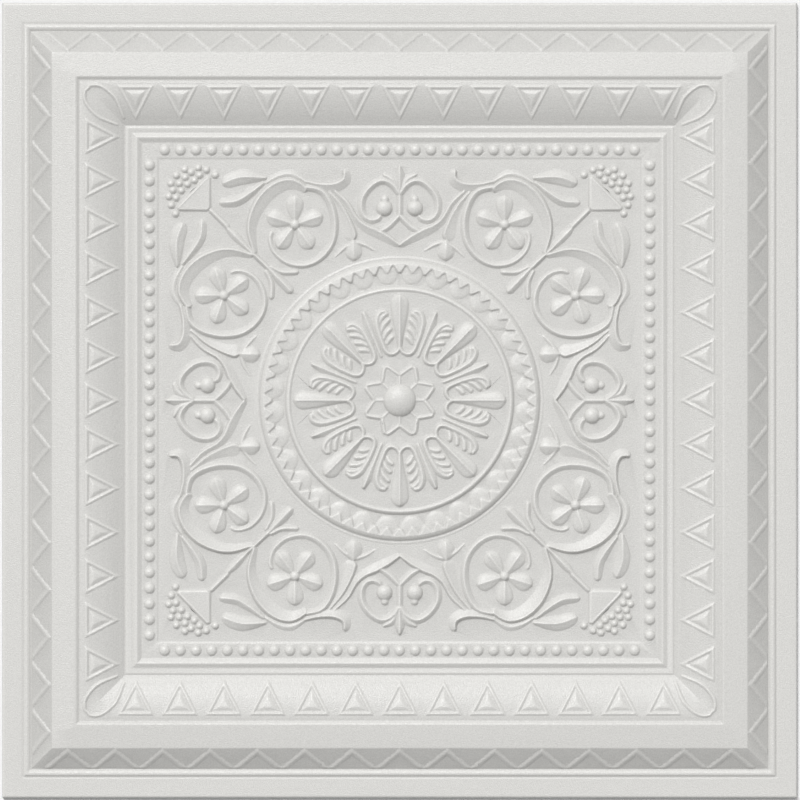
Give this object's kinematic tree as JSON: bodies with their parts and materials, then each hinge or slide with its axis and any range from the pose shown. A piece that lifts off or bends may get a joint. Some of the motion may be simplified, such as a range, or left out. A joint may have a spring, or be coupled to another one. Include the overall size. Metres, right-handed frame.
{
  "type": "ceiling tile",
  "caption": "Square white foam ceiling tile with a raised moulded frame, a sunk panel of scrolls and flowers, and a round rosette medallion.",
  "frame": {"origin": "centre of the flat glue face on the tile's back", "axes": "+Z out of the ornamented face, +X and +Y along the tile's edges"},
  "size_m": [0.5, 0.5, 0.013],
  "materials": {
    "foam": "satin pressed foam skin"
  },
  "bodies": {
    "root": {"tile": "foam"}
  },
  "joints": []
}
